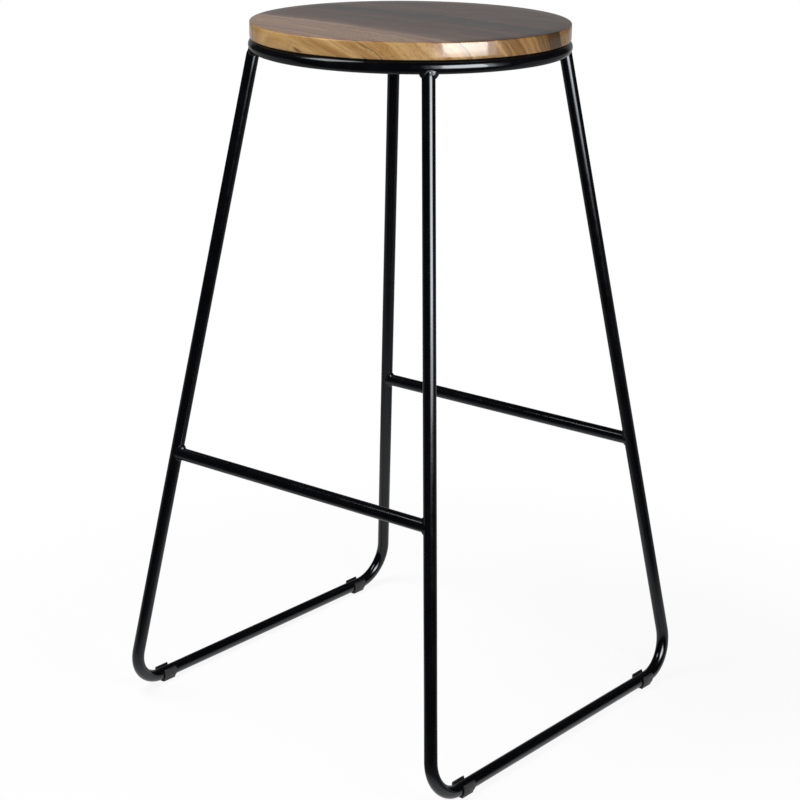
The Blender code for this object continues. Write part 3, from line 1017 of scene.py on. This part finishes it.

# The floor's glow that only glossy rays see, a painted reflection in the steel: how near or far
# each part reaches, and how bright it is
FLOOR_RADIUS = 6.0
TOUCH_REACH, TOUCH_GLOW = (0.02, 0.10), 0.90
SHEET_EDGE, SHEET_GLOW = (0.05, 0.30), 0.60
SHEET_FADE, SHEET_FAR_SHARE = (0.25, 0.60), 0.35
STRIP_START, STRIP_GLOW = (0.4, 1.4), 0.40

# The floor as the camera sees it: the share that shadows can fall on, fading outward
FLOOR_PAPER = (0.9, 0.9, 0.9, 1.0)
SHADOW_REACH, SHADOW_SHARE = (0.35, 0.8), 0.10

# Name, place, width and height, radiance, whether it lights, whether it is mirrored
KEY_PANELS = (
    ("key_core", 1.207, -0.323, 1.00, (0.68, 0.85), 12.5, False, True),
    ("key_foot", 1.207, -0.323, 0.505, (0.68, 0.14), 5.0, False, True),
    ("key_light", 1.217, -0.326, 1.00, (0.70, 0.86), 6.8, True, False),
    ("key_skirt", 1.227, -0.329, 1.00, (1.02, 1.05), 2.6, False, True),
    ("key_spill", 1.237, -0.332, 1.00, (1.30, 1.30), 0.8, False, True))
OVERHEAD_PANELS = (
    ("overhead_light", -0.65, -0.65, 2.05, (1.0, 1.0), 11.8, True, False),
    ("overhead_left", -0.62, -0.82, 1.95, (0.62, 0.85), 6.4, False, True))
OVERHEAD_AIM_Z = 0.74


def add_camera():
    azimuth, elevation = math.radians(VIEW_AZIMUTH), math.radians(VIEW_ELEVATION)
    back = Vector((math.sin(azimuth) * math.cos(elevation),
                   -math.cos(azimuth) * math.cos(elevation), math.sin(elevation)))
    data = bpy.data.cameras.new("camera")
    data.lens = LENS_MM
    data.sensor_width = SENSOR_MM
    camera = bpy.data.objects.new("camera", data)
    bpy.context.scene.collection.objects.link(camera)
    aim = back.to_track_quat("Z", "Y").to_matrix()
    pan = Matrix.Rotation(math.radians(VIEW_PAN), 3, "Y")
    tilt = Matrix.Rotation(math.radians(VIEW_TILT), 3, "X")
    roll = Matrix.Rotation(math.radians(-VIEW_ROLL), 3, "Z")
    turn = (aim @ pan @ tilt @ roll).to_4x4()
    place = Vector((0.0, 0.0, VIEW_TARGET_Z)) + back * VIEW_DISTANCE
    camera.matrix_world = Matrix.Translation(place) @ turn
    bpy.context.scene.camera = camera


def softbox(name, place, aim, size, radiance, lights, mirrored):
    """Rectangular soft light that the camera doesn't see. It may light surfaces, be mirrored in
    glossy ones, or both."""
    width, tall = size
    data = bpy.data.lights.new(name, "AREA")
    data.shape = "RECTANGLE"
    data.size = width
    data.size_y = tall
    data.energy = radiance * math.pi * width * tall
    light = bpy.data.objects.new(name, data)
    bpy.context.scene.collection.objects.link(light)
    facing = Vector(aim) - Vector(place)
    light.matrix_world = (Matrix.Translation(Vector(place))
                          @ facing.to_track_quat("-Z", "Y").to_matrix().to_4x4())
    light.visible_camera = False
    light.visible_diffuse = lights
    light.visible_glossy = mirrored


def add_lights():
    """A key at the front right, hot in the middle and fading out round it, and a panel high on
    the left. The parts that only light are fainter than they look in the gloss. The key's panels
    stand a little apart, since one hides another in the same plane."""
    for name, x, y, z, size, radiance, lights, mirrored in KEY_PANELS:
        softbox(name, (x, y, z), (0.0, 0.0, z), size, radiance, lights, mirrored)
    for name, x, y, z, size, radiance, lights, mirrored in OVERHEAD_PANELS:
        softbox(name, (x, y, z), (0.0, 0.0, OVERHEAD_AIM_Z), size, radiance, lights, mirrored)


def add_world():
    """White to the camera, a little even light, and a dark studio with a dim back wall in the
    reflections."""
    world = bpy.data.worlds.new("studio")
    bpy.context.scene.world = world
    world.use_nodes = True
    tree = world.node_tree
    background = tree.nodes["Background"]
    direction = tree.nodes.new("ShaderNodeTexCoord").outputs["Generated"]
    height = add(tree, "SeparateXYZ", Vector=direction).outputs["Z"]
    wall = remap(tree, reach_along(tree, direction, BACK_WALL), *WALL_SPREAD,
                 0.0, WALL_GLOW)
    wall = math_node(tree, "MULTIPLY", wall,
                     remap(tree, height, *WALL_FADE, 1.0, WALL_TOP_SHARE))
    wall = math_node(tree, "ADD", wall, DARK_STUDIO)
    path = tree.nodes.new("ShaderNodeLightPath")
    room = mix_colour(tree, path.outputs["Is Glossy Ray"], EVEN_LIGHT, wall)
    colour = mix_colour(tree, path.outputs["Is Camera Ray"], room, WHITE)
    tree.links.new(colour, background.inputs["Color"])


def painted_floor_reflection(tree, place, away, ray_length):
    """Painted reflection: the glow the floor gives glossy rays only, bright only near where the
    stool touches it, on the sheet that ends in front of the stool, and in the strip behind."""
    toward = add(tree, "VectorMath", Vector=place)
    toward.operation = "NORMALIZE"
    behind = reach_along(tree, toward.outputs["Vector"], BACK_WALL)
    forward = reach_along(tree, place, -BACK_WALL)
    close = remap(tree, ray_length, *TOUCH_REACH, TOUCH_GLOW, 0.0)
    sheet = math_node(tree, "MULTIPLY", remap(tree, forward, *SHEET_EDGE, SHEET_GLOW, 0.0),
                      remap(tree, ray_length, *SHEET_FADE, 1.0, SHEET_FAR_SHARE))
    strip = math_node(tree, "MULTIPLY", remap(tree, behind, *WALL_SPREAD, 0.0, STRIP_GLOW),
                      remap(tree, away, *STRIP_START))
    return math_node(tree, "MAXIMUM", math_node(tree, "MAXIMUM", close, sheet),
                     math_node(tree, "ADD", strip, DARK_STUDIO))


def add_floor():
    """Pale floor that glows white, with a breath of shadow under the stool. Glossy rays see a
    painted reflection in its place.
    """
    work = bmesh.new()
    bmesh.ops.create_circle(work, cap_ends=True, segments=96, radius=FLOOR_RADIUS)
    mesh = bpy.data.meshes.new("floor")
    work.to_mesh(mesh)
    work.free()
    floor = bpy.data.objects.new("floor", mesh)
    bpy.context.scene.collection.objects.link(floor)
    material, tree, shader = new_material("floor")
    tree.nodes.remove(shader)
    place = object_point(tree)
    away = vector_length(tree, place)
    path = tree.nodes.new("ShaderNodeLightPath")
    painted_floor_glow = painted_floor_reflection(tree, place, away, path.outputs["Ray Length"])
    # Painted reflection: glossy rays see the floor's patterned glow, every other ray plain white.
    glow = mix_colour(tree, path.outputs["Is Glossy Ray"], WHITE, painted_floor_glow)
    emission = add(tree, "Emission", Color=glow, Strength=1.0)
    diffuse = add(tree, "BsdfDiffuse", Color=FLOOR_PAPER)
    mix = add(tree, "MixShader", Fac=remap(tree, away, *SHADOW_REACH, SHADOW_SHARE, 0.0))
    tree.links.new(emission.outputs[0], mix.inputs[1])
    tree.links.new(diffuse.outputs[0], mix.inputs[2])
    tree.links.new(mix.outputs[0], tree.nodes["Material Output"].inputs["Surface"])
    mesh.materials.append(material)


# ---------------------------------------------------------------- the stool

wood = wood_material()
steel = steel_material("black_steel", STEEL_ROUGHNESS, STEEL_RELIEF)
plastic = plastic_material()
zinc = zinc_material()

build_seat(wood)
build_ring(steel)
for side_name, side in SIDES.items():
    build_side_frame(steel, side_name, side)
for end_name, end in ENDS.items():
    build_footrest(steel, end_name, end)
build_welds(steel_material("weld_steel", WELD_ROUGHNESS, WELD_RELIEF))
build_fixings(steel, zinc)
build_glides(plastic)

add_camera()
add_lights()
add_world()
add_floor()
bpy.context.scene.view_settings.view_transform = "Standard"
